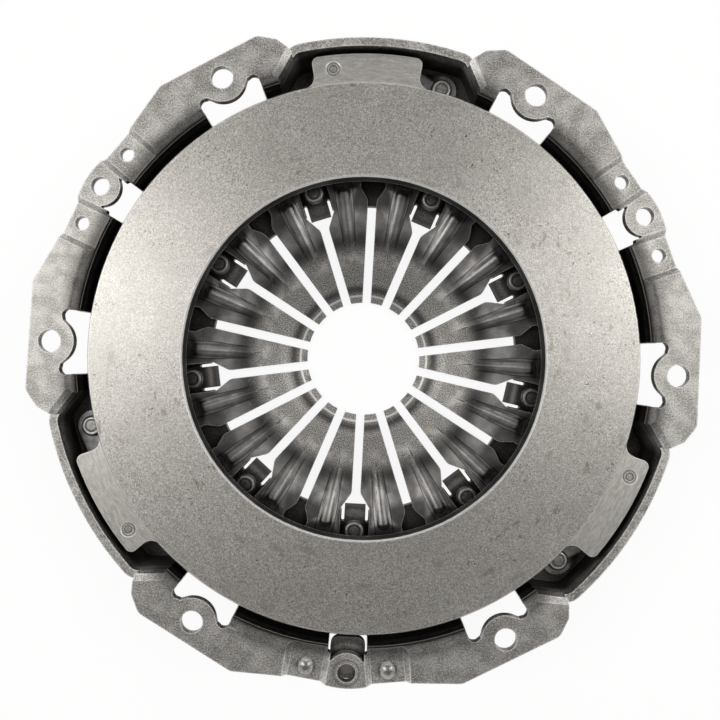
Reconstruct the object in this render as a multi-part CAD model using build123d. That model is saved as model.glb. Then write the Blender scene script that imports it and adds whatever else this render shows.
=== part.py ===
from build123d import *
from math import atan2, cos, degrees, hypot, radians, sin, tan
import os

os.makedirs("parts", exist_ok=True)

# Clutch pressure plate, in millimetres.
# The origin is the centre of the bolt circle on the mounting face, +Z points to the flywheel,
# and +Y runs through the first drive lug.

# Pattern of the assembly
sector_count = 3
sector_pitch = 360 / sector_count
lug_axis = 90.0
dowel_axis = 30.0
bolt_count = 6
bolt_hole_radius = 4.9
dowel_hole_radius = 4.0

# Travel of the pressure plate, from the free state to full release
plate_travel = 5.5
rivet_clearance = 0.05
seat_clearance = 0.07

# Diaphragm spring
finger_count = 18
spring_thickness = 2.6
spring_inset = 10.1
spring_cone = 12.0
pivot_inset = 26.0
pivot_depth = 28.0
tip_bend_radius = 39.0
tip_length = 11.2
tip_cone = 28.0
tip_round = 14.0
slot_half_width = 2.05
slot_run_out = 10.0
rivet_window_half_width = 6.85
rivet_window_length = 20.2
rivet_window_flare = 7.0
plain_window_half_width = 5.8
plain_window_length = 9.1
plain_window_flare = 5.5
window_flare_round = 4.0
window_shoulder_round = 2.0
window_end_round = 1.5
window_end_gap = 1.8
rib_ring_gap = 3.8
rib_length = 27.5
rib_outer_round = 4.2
rib_inner_round = 2.2
rib_height = 1.3
rib_start_height = 0.05

# Fulcrum rings and rivets
wire_radius = 2.0
rivet_ring_gap = 0.5
fulcrum_shank_radius = 2.6
fulcrum_head_radius = 4.8
fulcrum_head_height = 2.4
fulcrum_tail_radius = 3.8
fulcrum_tail_height = 2.0
head_edge_round = 1.2

# Pressure plate
face_depth = 4.0
plate_outer_radius = 122.1
face_width = 41.8
plate_bore_depth = 8.5
plate_bore_land = 7.7
plate_body_depth = 10.5
plate_body_inset = 11.0
plate_shoulder_offset = 7.0
plate_shoulder_depth = 11.0
bead_inset = 5.0
bead_round = 2.5
bead_root_half_width = 4.0
bead_root_overlap = 1.0
spring_gap = 0.3
face_chamfer = 0.6
lug_reach = 12.7
lug_start_angle = -8.1
lug_end_angle = 13.2
lug_face_drop = 1.0
lug_web = 5.5
lug_corner_round = 3.0
lug_root_round = 5.0
lug_boss_radius = 8.2
lug_boss_height = 4.5

# Drive straps and their rivets
leaf_count = 4
leaf_thickness = 0.75
strap_half_width = 7.0
strap_lug_overhang = 9.6
strap_lug_corner_round = 5.5
strap_lug_rivet_inset = 6.1
strap_lug_rivet_angle = 9.2
strap_cover_rivet_inset = 9.4
strap_cover_rivet_angle = -12.9
strap_rise = 2.0
strap_flat = 11.0
strap_shank_radius = 2.9
strap_head_radius = 4.7
strap_head_height = 2.6
strap_tail_radius = 4.4
strap_tail_height = 2.2
lug_rivet_recess = 0.3
lug_hole_chamfer = 0.4

# Cover sheet and flange, with radii given as a reach beyond the bolt circle
sheet = 3.6
ear_crest_reach = 6.8
ear_side_reach = 5.7
ear_side_angle = 4.3
waist_reach = 5.9
waist_angle = 11.9
corner_reach = 10.9
first_corner_angle = 20.0
last_corner_angle = 38.4
end_reach = 7.0
end_angle = 41.5
foot_reach = 1.0
foot_angle = 43.5
corner_round = 5.0
waist_round = 9.0
end_round = 2.0

# Cover pan and lug bays
pan_clearance = 4.9
bolt_shelf = 10.0
pan_draft = 2.0
mouth_bend = 4.0
mouth_step = 0.7
pan_bend = 6.0
bay_clearance = 2.2
bay_half_angle = 15.8
bay_foot_inset = 11.0
bay_foot_half_angle = 20.5
bay_corner_round = 5.0
bay_rim_drop = 2.0
bay_inner_inset = 12.0
step_clearance = 3.4
bay_step_half_angle = 17.5
floor_clearance = 0.3
access_hole_radius = 6.5
seat_slope_start = 8.0
seat_slope_end = 18.0

# Windows in the cover
window_sill = 0.3
window_outer_inset = 5.0
window_corner_round = 2.2
window_foot_round = 5.0
bolt_window_half_width = 14.0
bolt_seat_radius = 10.6
dowel_window_half_width = 8.6
dowel_seat_radius = 8.7

# Pads beside each dowel ear
pad_angle = 7.55
pad_half_width = 7.4
pad_depth = 2.5
pad_slope = 2.4
balance_hole_radius = 3.05

# Retaining tabs at the cover's inner edge
back_lip = 3.0
tab_width = 10.1
tab_bend_radius = 5.0
tab_bend_angle = 68.0
tab_straight = 2.4
tab_notch_width = 1.4
tab_notch_depth = 2.1

# Balance weight
weight_sector = 2
weight_thickness = 3.0
weight_half_angle = 10.3
weight_width = 10.6
weight_wall_gap = 0.8
weight_plate_gap = 1.4
weight_tongue_half_width = 7.7
weight_tongue_round = 4.0
weight_corner_round = 2.0
balance_dome_radius = 4.3
balance_dome_height = 2.6
balance_tail_radius = 4.0
balance_tail_height = 1.6

# Reach of cutters: through everything, and just past a face
far = 60.0
margin = 1.0

# Heights and radii that follow from those above
plate_inner_radius = plate_outer_radius - face_width
spring_outer_radius = plate_outer_radius - spring_inset
pivot_radius = spring_outer_radius - pivot_inset
pan_mouth_radius = plate_outer_radius + pan_clearance
bolt_circle_radius = pan_mouth_radius + bolt_shelf
cone_rise = tan(radians(spring_cone))
half_spring = spring_thickness / 2
fulcrum_reach = half_spring + wire_radius + seat_clearance
front_ring_radius = pivot_radius - fulcrum_reach * sin(radians(spring_cone))
front_ring_z = -pivot_depth + fulcrum_reach * cos(radians(spring_cone))
rear_ring_radius = pivot_radius + fulcrum_reach * sin(radians(spring_cone))
rear_ring_z = -pivot_depth - fulcrum_reach * cos(radians(spring_cone))
fulcrum_rivet_circle = front_ring_radius - wire_radius - rivet_ring_gap - fulcrum_shank_radius
window_end_radius = fulcrum_rivet_circle + fulcrum_shank_radius + window_end_gap
rivet_window_start = window_end_radius - rivet_window_length
plain_window_start = window_end_radius - plain_window_length
rib_outer_radius = front_ring_radius - wire_radius - rib_ring_gap
rib_inner_radius = rib_outer_radius - rib_length
tip_radius = tip_bend_radius - tip_length
back_z = rear_ring_z - wire_radius - seat_clearance
head_z = front_ring_z + wire_radius + seat_clearance
face_z = -face_depth
lug_face_z = face_z - lug_face_drop
lug_web_z = lug_face_z - lug_web
lug_boss_z = lug_web_z - lug_boss_height
strap_stack = leaf_count * leaf_thickness
seat_z = lug_boss_z - strap_rise - strap_stack
floor_z = lug_boss_z - strap_stack - strap_tail_height - plate_travel - floor_clearance
pad_back_z = -pad_depth - sheet
bead_radius = spring_outer_radius - bead_inset
plate_shoulder_radius = bead_radius + plate_shoulder_offset
lug_outer_radius = plate_outer_radius + lug_reach
strap_lug_rivet_radius = lug_outer_radius - strap_lug_rivet_inset
bay_radius = lug_outer_radius + bay_clearance
bay_foot_radius = bay_radius - bay_foot_inset
bay_step_radius = spring_outer_radius + step_clearance
strap_cover_rivet_radius = bay_radius - strap_cover_rivet_inset
window_depth = -back_z - pan_bend - window_sill
window_outer_radius = bolt_circle_radius - window_outer_inset
corner_radius = bolt_circle_radius + corner_reach
tab_bend_start = fulcrum_rivet_circle - fulcrum_tail_radius
back_hole_radius = tab_bend_start - back_lip
tab_notch_radius = tab_bend_start + tab_notch_depth
weight_inner_radius = pan_mouth_radius + sheet + weight_wall_gap
weight_outer_radius = weight_inner_radius + weight_width
weight_tongue_radius = plate_outer_radius + weight_plate_gap
sector_angles = [sector_pitch * k for k in range(sector_count)]
bolt_angles = [360 / bolt_count * k for k in range(bolt_count)]
finger_pitch = 360 / finger_count
rivet_angles = [dowel_axis + 2 * finger_pitch * k for k in range(finger_count // 2)]
plain_angles = [angle + finger_pitch for angle in rivet_angles]
finger_angles = [dowel_axis + finger_pitch * (k + 0.5) for k in range(finger_count)]


def polar(radius, angle):
    return (radius * cos(radians(angle)), radius * sin(radians(angle)))


def from_y(radius, angle):
    """A point given by its radius and its angle from the +Y axis, positive anticlockwise."""
    return polar(radius, 90 + angle)


def turned(shape, angle):
    return Rot(0, 0, angle) * shape


def ring_of(shape, angles):
    """Copies of a shape modelled on the +Y axis, one at each angle from +X."""
    return [turned(shape, angle - 90) for angle in angles]


def upright(plan, low, high):
    """A prism over a plan sketch, from one height to another."""
    return Pos(0, 0, low) * extrude(plan, high - low)


def disc(radius, low, high, at=(0, 0)):
    return Pos(at[0], at[1], low) * extrude(Circle(radius), high - low)


def spun(profile):
    """A solid of revolution about Z from a sketch whose X is the radius and whose Y is the height."""
    return revolve(Plane.XZ * profile, Axis.Z)


def radial_bar(profile, inner, outer):
    """A bar along +Y over a sketch whose X runs across and whose Y is the height."""
    return extrude(Plane((0, outer, 0), x_dir=(1, 0, 0), z_dir=(0, -1, 0)) * profile, outer - inner)


def polygon(*points):
    return make_face(Polyline(*points, close=True))


def rounded(sketch, radius, *corners):
    """The sketch with the corners nearest to the given points rounded."""
    found = [sketch.vertices().sort_by_distance((x, y, 0))[0] for x, y in corners]
    return fillet(found, radius)


def spring_z(radius):
    """Height of the spring's middle surface."""
    return -pivot_depth + (radius - pivot_radius) * cone_rise


def button(radius, height, z, at, upward=True):
    """A rivet head with a rounded rim that stands on the height z."""
    body = Pos(at[0], at[1], z) * extrude(Circle(radius), height if upward else -height)
    rim = body.edges().sort_by(Axis.Z)[-1 if upward else 0]
    return fillet(rim, head_edge_round)


# Cover

def pan(grow):
    """The pan's front surface as a solid below the mounting face, moved outward by grow."""
    foot = (pan_mouth_radius - pan_draft + grow, back_z - grow)
    profile = polygon((0, 0), (pan_mouth_radius + grow, 0), foot, (0, foot[1]))
    return spun(rounded(profile, pan_bend + grow, foot))


def mouth():
    """The rounded mouth where the flange bends down into the pan."""
    bend_x = pan_mouth_radius + mouth_bend
    cos45 = cos(radians(45))
    outline = [
        Line((0, -mouth_bend), (pan_mouth_radius, -mouth_bend)),
        ThreePointArc((pan_mouth_radius, -mouth_bend),
                      (bend_x - mouth_bend * cos45, mouth_bend * (cos45 - 1)), (bend_x, 0)),
        Polyline((bend_x, 0), (0, 0), (0, -mouth_bend)),
    ]
    return spun(make_face(outline))


def bay_mouth():
    """The rounded mouth of a lug bay on the +Y axis, where the flange ends bend into it."""
    low = mouth_bend * mouth_step
    first = mouth_bend * (1 - (1 - mouth_step ** 2) ** 0.5)
    slope = degrees(atan2(first, low))
    cutter = Pos(0, 0, -mouth_bend) * extrude(bay_plan(0), low, taper=-slope)
    slope = degrees(atan2(mouth_bend - first, mouth_bend - low))
    return cutter + Pos(0, 0, low - mouth_bend) * extrude(bay_plan(first), mouth_bend - low, taper=-slope)


def bay_plan(grow):
    """Plan of a lug bay on the +Y axis, moved outward by grow."""
    corners = [from_y(bay_radius, bay_half_angle), from_y(bay_radius, -bay_half_angle)]
    feet = [from_y(bay_foot_radius, bay_foot_half_angle), from_y(bay_foot_radius, -bay_foot_half_angle)]
    inner = bay_step_radius - bay_inner_inset
    outline = [
        ThreePointArc(corners[1], (0, bay_radius), corners[0]),
        Line(corners[0], feet[0]),
        Line(feet[0], (feet[0][0], inner)),
        Line((feet[0][0], inner), (feet[1][0], inner)),
        Line((feet[1][0], inner), feet[1]),
        Line(feet[1], corners[1]),
    ]
    plan = make_face(outline)
    if grow:
        plan = offset(plan, grow, kind=Kind.INTERSECTION)
    return rounded(plan, bay_corner_round + grow, *corners)


def floor_profile(drop, side):
    """Section of a bay across the lug axis: above the stepped floor (side 1) or below it (side -1)."""
    reach = far * side
    return polygon(
        (-far, floor_z - drop),
        (seat_slope_start, floor_z - drop),
        (seat_slope_end, seat_z - drop),
        (far, seat_z - drop),
        (far, reach),
        (-far, reach),
    )


def bay_step(shrink):
    """Plan of the raised floor's step, with its walls moved inward by shrink."""
    slope = tan(radians(bay_step_half_angle))
    shift = shrink / cos(radians(bay_step_half_angle))
    right = [(y * slope - shift, y) for y in (bay_step_radius + shrink, bay_radius + far)]
    left = [(-x, y) for x, y in right]
    return polygon(*right, *reversed(left))


def flange_plan():
    """Plan of one flange sector, symmetric about its dowel ear on the +Y axis."""
    half = [
        (ear_side_reach, ear_side_angle),
        (waist_reach, waist_angle),
        (corner_reach, first_corner_angle),
        (corner_reach, last_corner_angle),
        (end_reach, end_angle),
        (foot_reach, foot_angle),
    ]
    left = [from_y(bolt_circle_radius + reach, angle) for reach, angle in half]
    left.append(from_y(bay_step_radius, foot_angle))
    right = [(-x, y) for x, y in reversed(left)]
    outline = [
        ThreePointArc(right[-1], (0, bolt_circle_radius + ear_crest_reach), left[0]),
        Polyline(*left),
        Line(left[-1], right[0]),
        Polyline(*right),
    ]
    plan = make_face(outline)
    for places, radius in (((2, 3), corner_round), ((1,), waist_round), ((4,), end_round)):
        corners = [left[place] for place in places]
        plan = rounded(plan, radius, *corners, *[(-x, y) for x, y in corners])
    return plan


def window(half_width):
    """Cutter for the window inward of an ear on the +Y axis."""
    inner = bay_step_radius
    corners = [(half_width, window_outer_radius), (-half_width, window_outer_radius)]
    plan = polygon((-half_width, inner), (half_width, inner), *corners)
    plan = rounded(plan, window_corner_round, *corners)
    cutter = upright(plan, -window_depth, margin)
    foot = cutter.edges().filter_by(Axis.Y).group_by(Axis.Z)[0]
    return fillet(foot, window_foot_round)


def seat(radius, angle):
    """The flat round seat of an ear's hole, which reaches into the window."""
    return disc(radius, -sheet, 0, polar(bolt_circle_radius, angle))


def pad_front():
    """The line of a pad's front surface across its own axis."""
    reach = pad_half_width + pad_slope
    return [(-reach, 0), (-pad_half_width, -pad_depth), (pad_half_width, -pad_depth), (reach, 0)]


def pad_angles():
    """Angles of the pads, one on each side of every dowel ear."""
    return [dowel_axis + turn + side * pad_angle for turn in sector_angles for side in (-1, 1)]


def tab():
    """A retaining tab on the +Y axis, bent backward from the cover's inner edge."""
    bend = radians(tab_bend_angle)
    outer_end = (tab_bend_start - tab_bend_radius * sin(bend),
                 back_z - tab_bend_radius * (1 - cos(bend)))
    inner_radius = tab_bend_radius - sheet
    inner_end = (tab_bend_start - inner_radius * sin(bend),
                 back_z - tab_bend_radius + inner_radius * cos(bend))
    run = (-tab_straight * cos(bend), -tab_straight * sin(bend))
    half = radians(tab_bend_angle / 2)
    outer_mid = (tab_bend_start - tab_bend_radius * sin(half),
                 back_z - tab_bend_radius * (1 - cos(half)))
    inner_mid = (tab_bend_start - inner_radius * sin(half),
                 back_z - tab_bend_radius + inner_radius * cos(half))
    outline = [
        ThreePointArc((tab_bend_start, back_z), outer_mid, outer_end),
        Polyline(outer_end, (outer_end[0] + run[0], outer_end[1] + run[1]),
                 (inner_end[0] + run[0], inner_end[1] + run[1]), inner_end),
        ThreePointArc(inner_end, inner_mid, (tab_bend_start, back_z - sheet)),
        Line((tab_bend_start, back_z - sheet), (tab_bend_start, back_z)),
    ]
    side = Plane((-tab_width / 2, 0, 0), x_dir=(0, 1, 0), z_dir=(1, 0, 0))
    return extrude(side * make_face(outline), tab_width)


def tab_gap():
    """Cutter that frees a tab on the +Y axis, with a relief notch on each side of its root."""
    half = tab_width / 2 + tab_notch_width
    cutter = upright(polygon((-half, 0), (half, 0), (half, tab_bend_start), (-half, tab_bend_start)),
                     back_z - sheet - margin, back_z + margin)
    for side in (-1, 1):
        across = side * (tab_width + tab_notch_width) / 2
        centre = tab_notch_radius - tab_notch_width / 2
        notch = Pos(across, centre / 2) * Rectangle(tab_notch_width, centre)
        notch += Pos(across, centre) * Circle(tab_notch_width / 2)
        cutter += upright(notch, back_z - sheet - margin, back_z + margin)
    return cutter


def shoulder():
    """The zone beside a lug bay on the +Y axis where the flange stands over the pan."""
    zones = [turned(upright(flange_plan(), -far, far), side * sector_pitch / 2) for side in (-1, 1)]
    return zones[0] + zones[1]


def lug_rivet_place(angle):
    return polar(strap_lug_rivet_radius, angle + strap_lug_rivet_angle)


def cover_rivet_place(angle):
    return polar(strap_cover_rivet_radius, angle + strap_cover_rivet_angle)


def cover():
    bay_turns = [lug_axis + turn for turn in sector_angles]
    ear_turns = [dowel_axis + turn for turn in sector_angles]

    # Outer surfaces of the pan, the bays and the flange
    notch = upright(bay_step(sheet), -far, far) & radial_bar(floor_profile(sheet, -1), 0, far * 3)
    body = pan(sheet) - ring_of(notch, bay_turns)
    bay = upright(bay_plan(sheet), -far, -bay_rim_drop)
    bay = bay & radial_bar(floor_profile(sheet, 1), 0, far * 3)
    body = body + ring_of(bay, bay_turns)
    body = body + ring_of(upright(flange_plan(), -sheet, 0), ear_turns)

    # Inner surfaces
    step = upright(bay_step(0), -far, far) & radial_bar(floor_profile(0, -1), 0, far * 3)
    hollow = pan(0) - ring_of(step, bay_turns)
    bay_hollow = upright(bay_plan(0), -far, far) & radial_bar(floor_profile(0, 1), 0, far * 3)
    body = body - hollow - ring_of(bay_hollow, bay_turns)
    body = body - disc(back_hole_radius, back_z - far, back_z + margin)
    body = body - mouth() - ring_of(bay_mouth() & shoulder(), bay_turns)

    # Windows with the seats of the holes
    body = body - ring_of(window(bolt_window_half_width), bolt_angles)
    body = body - ring_of(window(dowel_window_half_width), ear_turns)
    body = body + [seat(bolt_seat_radius, angle) for angle in bolt_angles]
    body = body + [seat(dowel_seat_radius, angle) for angle in ear_turns]

    # Pads
    front = pad_front()
    above = [(front[-1][0], far), (front[0][0], far)]
    back = [(x, z - sheet) for x, z in reversed(front)]
    pad_hollow = radial_bar(polygon(*front, *above), bay_step_radius, corner_radius)
    pad = radial_bar(polygon(*front, *back), pan_mouth_radius + sheet / 2, corner_radius)
    zones = Compound(ring_of(upright(flange_plan(), -far, far), ear_turns))
    body = body - ring_of(pad_hollow, pad_angles())
    body = body + [shape & zones for shape in ring_of(pad, pad_angles())]

    # Tabs and round holes
    body = body - ring_of(tab_gap(), rivet_angles) + ring_of(tab(), rivet_angles)
    for radius, angles in ((bolt_hole_radius, bolt_angles), (dowel_hole_radius, ear_turns),
                           (balance_hole_radius, pad_angles())):
        body = body - [disc(radius, -far, far, polar(bolt_circle_radius, angle)) for angle in angles]
    for angle in bay_turns:
        shank_hole = strap_shank_radius + rivet_clearance
        body = body - disc(access_hole_radius, -far, floor_z + margin, lug_rivet_place(angle))
        body = body - disc(shank_hole, -far, seat_z + margin, cover_rivet_place(angle))
    for angle in rivet_angles:
        shank_hole = fulcrum_shank_radius + rivet_clearance
        body = body - disc(shank_hole, -far, back_z + margin, polar(fulcrum_rivet_circle, angle))
    return body


# Diaphragm spring

def slot(half_width, start, flare):
    """Plan of a slot along +Y with a wide window at its outer end."""
    right = [(slot_half_width, tip_radius - slot_run_out), (slot_half_width, start),
             (half_width, start + flare), (half_width, window_end_radius)]
    left = [(-x, y) for x, y in right]
    plan = polygon(*right, *reversed(left))
    for place, radius in ((1, window_flare_round), (2, window_shoulder_round), (3, window_end_round)):
        plan = rounded(plan, radius, right[place], left[place])
    return plan


def finger_rib(shift):
    """A tapered cone along a finger on the +Y axis, sunk so that only its back stands proud."""
    outer_centre = spring_z(rib_outer_radius) + half_spring + rib_height - rib_outer_round - shift
    inner_centre = spring_z(rib_inner_radius) + half_spring + rib_start_height - rib_inner_round - shift
    start = Vector(0, rib_inner_radius, inner_centre)
    run = Vector(0, rib_outer_radius, outer_centre) - start
    cone = Plane(start, x_dir=(1, 0, 0), z_dir=run) * Cone(
        rib_inner_round, rib_outer_round, run.length, align=(Align.CENTER, Align.CENTER, Align.MIN))
    return cone + Pos(0, rib_outer_radius, outer_centre) * Sphere(rib_outer_round)


def spring():
    rise = half_spring / cos(radians(spring_cone))
    bend_z = spring_z(tip_bend_radius)
    tip_z = bend_z - (tip_bend_radius - tip_radius) * tan(radians(tip_cone))
    line = [(spring_outer_radius, spring_z(spring_outer_radius)), (tip_bend_radius, bend_z),
            (tip_radius, tip_z)]
    section = polygon(*[(x, z + rise) for x, z in line], *[(x, z - rise) for x, z in reversed(line)])
    section = rounded(section, tip_round, *[(tip_bend_radius, bend_z + side * rise) for side in (-1, 1)])
    body = spun(section)
    zone = [(tip_bend_radius, bend_z), (window_end_radius, spring_z(window_end_radius))]
    front = polygon(*zone, *[(x, far) for x, z in reversed(zone)])
    ribs = Compound(ring_of(finger_rib(0), finger_angles)) & spun(front)
    grooves = ring_of(finger_rib(2 * rise), finger_angles)
    body = body + ribs - grooves
    wide = upright(slot(rivet_window_half_width, rivet_window_start, rivet_window_flare), -far, 0)
    plain = upright(slot(plain_window_half_width, plain_window_start, plain_window_flare), -far, 0)
    return body - ring_of(wide, rivet_angles) - ring_of(plain, plain_angles)


def wire_ring(radius, z):
    return Pos(0, 0, z) * Torus(radius, wire_radius)


def fulcrum_rivet(angle):
    """A shouldered rivet that traps the front ring and is headed over behind the cover."""
    at = polar(fulcrum_rivet_circle, angle)
    shank = disc(fulcrum_shank_radius, back_z - sheet, head_z, at)
    head = button(fulcrum_head_radius, fulcrum_head_height, head_z, at)
    tail = button(fulcrum_tail_radius, fulcrum_tail_height, back_z - sheet, at, upward=False)
    return shank + head + tail


# Pressure plate

def plate():
    shoulder_z = face_z - plate_shoulder_depth
    bead_z = spring_z(bead_radius) + (half_spring + spring_gap + bead_round) / cos(radians(spring_cone))
    section = polygon(
        (plate_inner_radius, face_z),
        (plate_outer_radius, face_z),
        (plate_outer_radius, lug_web_z),
        (plate_shoulder_radius, shoulder_z),
        (bead_radius - plate_body_inset, face_z - plate_body_depth),
        (plate_inner_radius + plate_bore_land, face_z - plate_bore_depth),
        (plate_inner_radius, face_z - plate_bore_depth),
    )
    section = chamfer(section.vertices().sort_by(Axis.Y)[-2:], face_chamfer)
    section += polygon(
        (bead_radius - bead_round, bead_z),
        (bead_radius + bead_round, bead_z),
        (bead_radius + bead_root_half_width, shoulder_z + bead_root_overlap),
        (bead_radius - bead_root_half_width, shoulder_z + bead_root_overlap),
    )
    section += Pos(bead_radius, bead_z) * Circle(bead_round)
    body = spun(section)
    core = Circle(plate_outer_radius)
    tips = []
    roots = []
    for turn in sector_angles:
        core += lug_plan(lug_axis + turn)
        for edge in (lug_start_angle, lug_end_angle):
            tips.append(polar(lug_outer_radius, lug_axis + turn + edge))
            roots.append(polar(plate_outer_radius, lug_axis + turn + edge))
    core = rounded(core, lug_corner_round, *tips)
    core = rounded(core, lug_root_round, *roots)
    outline = core - Circle(plate_shoulder_radius)
    body += upright(outline, lug_web_z, lug_face_z)
    prism = upright(outline, lug_boss_z, lug_face_z)
    places = [lug_rivet_place(lug_axis + turn) for turn in sector_angles]
    bosses = Compound([disc(lug_boss_radius, lug_boss_z, lug_face_z, place) for place in places])
    body += bosses & prism
    hole = strap_shank_radius + rivet_clearance
    body -= [disc(hole, lug_boss_z, lug_face_z, place) for place in places]
    mouth_cone = Cone(hole, hole + lug_hole_chamfer, lug_hole_chamfer,
                      align=(Align.CENTER, Align.CENTER, Align.MAX))
    return body - [Pos(*place, lug_face_z) * mouth_cone for place in places]


def lug_plan(angle):
    """Plan of a drive lug, from inside the ring to the lug's outer arc."""
    start, end = angle + lug_start_angle, angle + lug_end_angle
    corners = [polar(lug_outer_radius, edge) for edge in (start, end)]
    feet = [polar(plate_shoulder_radius, edge) for edge in (end, start)]
    outline = [
        ThreePointArc(corners[0], polar(lug_outer_radius, (start + end) / 2), corners[1]),
        Polyline(corners[1], feet[0], feet[1], corners[0]),
    ]
    return make_face(outline)


# Drive straps

def strap_frame(angle):
    """Frame of a strap pack: origin under the cover rivet, X along the strap to the lug rivet."""
    start = Vector(*cover_rivet_place(angle), 0)
    end = Vector(*lug_rivet_place(angle), 0)
    return Plane(start, x_dir=end - start, z_dir=(0, 0, 1))


def strap_length(angle):
    start = Vector(*cover_rivet_place(angle), 0)
    return (Vector(*lug_rivet_place(angle), 0) - start).length


def strap_leaf(angle, level):
    """One leaf of a strap pack, bent so that its lug end stands higher; level 0 is nearest the seat."""
    length = strap_length(angle)
    low = seat_z + level * leaf_thickness
    end = length + strap_lug_overhang
    line = [(-strap_half_width, low), (strap_flat, low), (length - strap_flat, low + strap_rise),
            (end, low + strap_rise)]
    band = polygon(*line, *[(x, z + leaf_thickness) for x, z in reversed(line)])
    side = Plane((0, far / 2, 0), x_dir=(1, 0, 0), z_dir=(0, -1, 0))
    leaf = extrude(side * band, far)
    ends = [(end, -strap_half_width), (end, strap_half_width)]
    plan = polygon((0, -strap_half_width), *ends, (0, strap_half_width))
    plan = rounded(plan, strap_lug_corner_round, *ends)
    plan += Circle(strap_half_width)
    hole = Circle(strap_shank_radius + rivet_clearance)
    plan -= hole
    plan -= Pos(length, 0) * hole
    return strap_frame(angle) * (leaf & upright(plan, -far, 0))


def cover_strap_rivet(angle):
    at = cover_rivet_place(angle)
    top = seat_z + strap_stack
    shank = disc(strap_shank_radius, seat_z - sheet, top, at)
    head = button(strap_head_radius, strap_head_height, top, at)
    tail = button(strap_tail_radius, strap_tail_height, seat_z - sheet, at, upward=False)
    return shank + head + tail


def lug_strap_rivet(angle):
    at = lug_rivet_place(angle)
    top = lug_face_z - lug_rivet_recess
    foot = lug_boss_z - strap_stack
    shank = disc(strap_shank_radius, foot, top, at)
    return shank + button(strap_tail_radius, strap_tail_height, foot, at, upward=False)


# Balance weight

def weight_places():
    ear = dowel_axis + weight_sector * sector_pitch
    return [polar(bolt_circle_radius, ear + side * pad_angle) for side in (-1, 1)]


def weight():
    """A plate behind one dowel ear, with a tongue that reaches through the ear's window."""
    right = [from_y(radius, -weight_half_angle) for radius in (weight_inner_radius, weight_outer_radius)]
    left = [(-x, y) for x, y in right]
    outline = [
        ThreePointArc(left[0], (0, weight_inner_radius), right[0]),
        Line(right[0], right[1]),
        ThreePointArc(right[1], (0, weight_outer_radius), left[1]),
        Line(left[1], left[0]),
    ]
    plan = rounded(make_face(outline), weight_corner_round, right[1], left[1])
    half = weight_tongue_half_width
    tips = [(-half, weight_tongue_radius), (half, weight_tongue_radius)]
    tongue = polygon(*tips, (half, bolt_circle_radius), (-half, bolt_circle_radius))
    plan += rounded(tongue, weight_tongue_round, *tips)
    ear = dowel_axis + weight_sector * sector_pitch
    body = turned(upright(plan, pad_back_z - weight_thickness, pad_back_z), ear - 90)
    return body - [disc(balance_hole_radius, -far, far, place) for place in weight_places()]


def weight_rivet(place):
    foot = pad_back_z - weight_thickness
    shank = disc(balance_hole_radius - rivet_clearance, foot, -pad_depth, place)
    curve = (balance_dome_radius ** 2 + balance_dome_height ** 2) / (2 * balance_dome_height)
    ball = Pos(*place, balance_dome_height - curve - pad_depth) * Sphere(curve)
    dome = ball & disc(balance_dome_radius, -pad_depth, 0, place)
    tail = button(balance_tail_radius, balance_tail_height, foot, place, upward=False)
    return shank + dome + tail


def save(shape, name):
    export_step(shape, f"parts/{name}.step")


save(cover(), "cover")
save(plate(), "pressure_plate")
save(spring(), "diaphragm_spring")
save(wire_ring(front_ring_radius, front_ring_z), "front_fulcrum_ring")
save(wire_ring(rear_ring_radius, rear_ring_z), "rear_fulcrum_ring")
save(Compound([fulcrum_rivet(angle) for angle in rivet_angles]), "fulcrum_rivets")
for number, turn in enumerate(sector_angles, start=1):
    for level in range(leaf_count):
        save(strap_leaf(lug_axis + turn, level), f"strap_{number}_leaf_{level + 1}")
save(Compound([cover_strap_rivet(lug_axis + turn) for turn in sector_angles]), "cover_strap_rivets")
save(Compound([lug_strap_rivet(lug_axis + turn) for turn in sector_angles]), "lug_strap_rivets")
save(weight(), "balance_weight")
save(Compound([weight_rivet(place) for place in weight_places()]), "balance_rivets")
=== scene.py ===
# %% [markdown]
# # Dressing a clutch pressure plate
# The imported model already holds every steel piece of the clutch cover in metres: the pressed
# cover, the cast ring, the diaphragm spring, its two wire rings, the straps and the rivets.
# This lesson adds what a solid can't say: how each piece was made and worn, how the thin
# pieces bend, and the light that shows it.

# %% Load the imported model
import math

import bmesh
import bpy
from mathutils import Matrix, Vector


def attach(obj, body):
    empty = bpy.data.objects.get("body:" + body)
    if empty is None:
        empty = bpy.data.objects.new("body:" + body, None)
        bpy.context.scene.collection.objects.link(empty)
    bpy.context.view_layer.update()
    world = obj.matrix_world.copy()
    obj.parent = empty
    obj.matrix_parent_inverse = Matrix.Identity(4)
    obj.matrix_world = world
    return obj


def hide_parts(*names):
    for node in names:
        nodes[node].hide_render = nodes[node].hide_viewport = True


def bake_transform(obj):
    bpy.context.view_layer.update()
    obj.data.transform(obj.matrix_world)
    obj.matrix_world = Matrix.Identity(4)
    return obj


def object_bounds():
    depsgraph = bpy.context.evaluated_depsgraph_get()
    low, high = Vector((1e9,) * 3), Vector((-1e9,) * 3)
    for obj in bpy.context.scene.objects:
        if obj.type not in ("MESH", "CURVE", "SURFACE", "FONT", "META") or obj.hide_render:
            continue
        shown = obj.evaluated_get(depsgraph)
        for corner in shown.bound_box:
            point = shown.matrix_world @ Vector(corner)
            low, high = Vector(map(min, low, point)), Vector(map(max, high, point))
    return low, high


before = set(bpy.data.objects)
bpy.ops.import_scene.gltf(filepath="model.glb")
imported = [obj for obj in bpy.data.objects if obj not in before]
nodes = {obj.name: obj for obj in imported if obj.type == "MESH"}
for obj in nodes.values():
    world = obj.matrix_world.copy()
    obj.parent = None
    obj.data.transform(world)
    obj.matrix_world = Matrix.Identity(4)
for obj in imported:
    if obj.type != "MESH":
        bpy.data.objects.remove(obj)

cad_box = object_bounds()
lowest, highest = ([round(value, 4) for value in point] for point in cad_box)
print(len(nodes), "CAD pieces between", lowest, "and", highest)

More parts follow.
